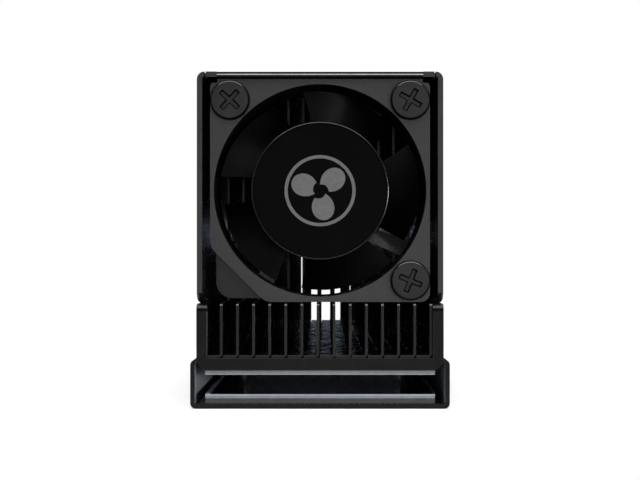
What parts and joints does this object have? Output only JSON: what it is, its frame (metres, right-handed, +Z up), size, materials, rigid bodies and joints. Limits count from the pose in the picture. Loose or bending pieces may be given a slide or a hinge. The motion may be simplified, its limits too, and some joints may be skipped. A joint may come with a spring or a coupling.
{
  "type": "solid state drive cooler",
  "caption": "Fan cooler for a flat solid state drive: folded fins in a cradle under a shroud, an axial fan at the front and a clip-on tray with thermal pads.",
  "frame": {"origin": "bottom centre of the tray, at the middle of the cooler's width and length", "axes": "+Z up from the tray to the shroud's top, +Y along the fins from the fan to the open end, +X across to the right seen from the fan"},
  "size_m": [0.0234, 0.072, 0.0305],
  "materials": {
    "cradle_aluminium": "black anodised, fine satin",
    "fin_aluminium": "black anodised thin sheet with a bare sheared edge",
    "shroud_aluminium": "black anodised sheet, satin",
    "upper_pad": "soft grey silicone thermal pad",
    "carrier_pad": "firm dark grey silicone pad",
    "lower_pad": "soft blue-grey silicone thermal pad",
    "tray_steel": "black painted spring steel",
    "fan_plastic": "matt black moulded plastic",
    "impeller_plastic": "satin black moulded plastic",
    "hub_disc": "satin black disc with a plain grey ring device",
    "black_screw": "black zinc",
    "brass": "turned brass",
    "sintered_bronze": "oil-filled sintered bronze",
    "silicon_steel": "stacked laminations",
    "bobbin_nylon": "natural nylon",
    "copper_wire": "enamelled copper winding",
    "pcb_green": "green solder mask",
    "ic_black": "moulded epoxy package",
    "seal_foil": "grey foil seal",
    "yoke_steel": "drawn steel cup",
    "ferrite": "bonded ferrite",
    "shaft_steel": "ground steel",
    "white_nylon": "white nylon"
  },
  "bodies": {
    "tray": {"tray": "tray_steel", "carrier_pad": "carrier_pad", "lower_pad": "lower_pad"},
    "cooler": {"base_cradle": "cradle_aluminium", "fin_01": "fin_aluminium", "fin_02": "fin_aluminium", "fin_03": "fin_aluminium", "fin_04": "fin_aluminium", "fin_05": "fin_aluminium", "fin_06": "fin_aluminium", "fin_07": "fin_aluminium", "fin_08": "fin_aluminium", "fin_09": "fin_aluminium", "fin_10": "fin_aluminium", "fin_11": "fin_aluminium", "fin_12": "fin_aluminium", "fin_13": "fin_aluminium", "fin_14": "fin_aluminium", "top_shroud": "shroud_aluminium", "upper_pad": "upper_pad", "fan_frame": "fan_plastic", "fan_screws": "black_screw", "bearing_tube": "brass", "bearing_front": "sintered_bronze", "bearing_rear": "sintered_bronze", "stator_core": "silicon_steel", "stator_insulator": "bobbin_nylon", "stator_coils": "copper_wire", "motor_pcb": "pcb_green", "driver_ic": "ic_black", "rear_seal_label": "seal_foil"},
    "rotor": {"impeller": "impeller_plastic", "rotor_yoke": "yoke_steel", "magnet_ring": "ferrite", "shaft": "shaft_steel", "retaining_ring": "white_nylon", "hub_label": "hub_disc"}
  },
  "joints": [
    {"name": "cooler_lift", "type": "slide", "parent": "tray", "child": "cooler", "axis": [0, 0, 1], "range_m": [0, 0.012]},
    {"name": "fan_spin", "type": "hinge", "parent": "cooler", "child": "rotor", "pos_m": [0, -0.031, 0.01974], "axis": [0, -1, 0], "continuous": true}
  ]
}
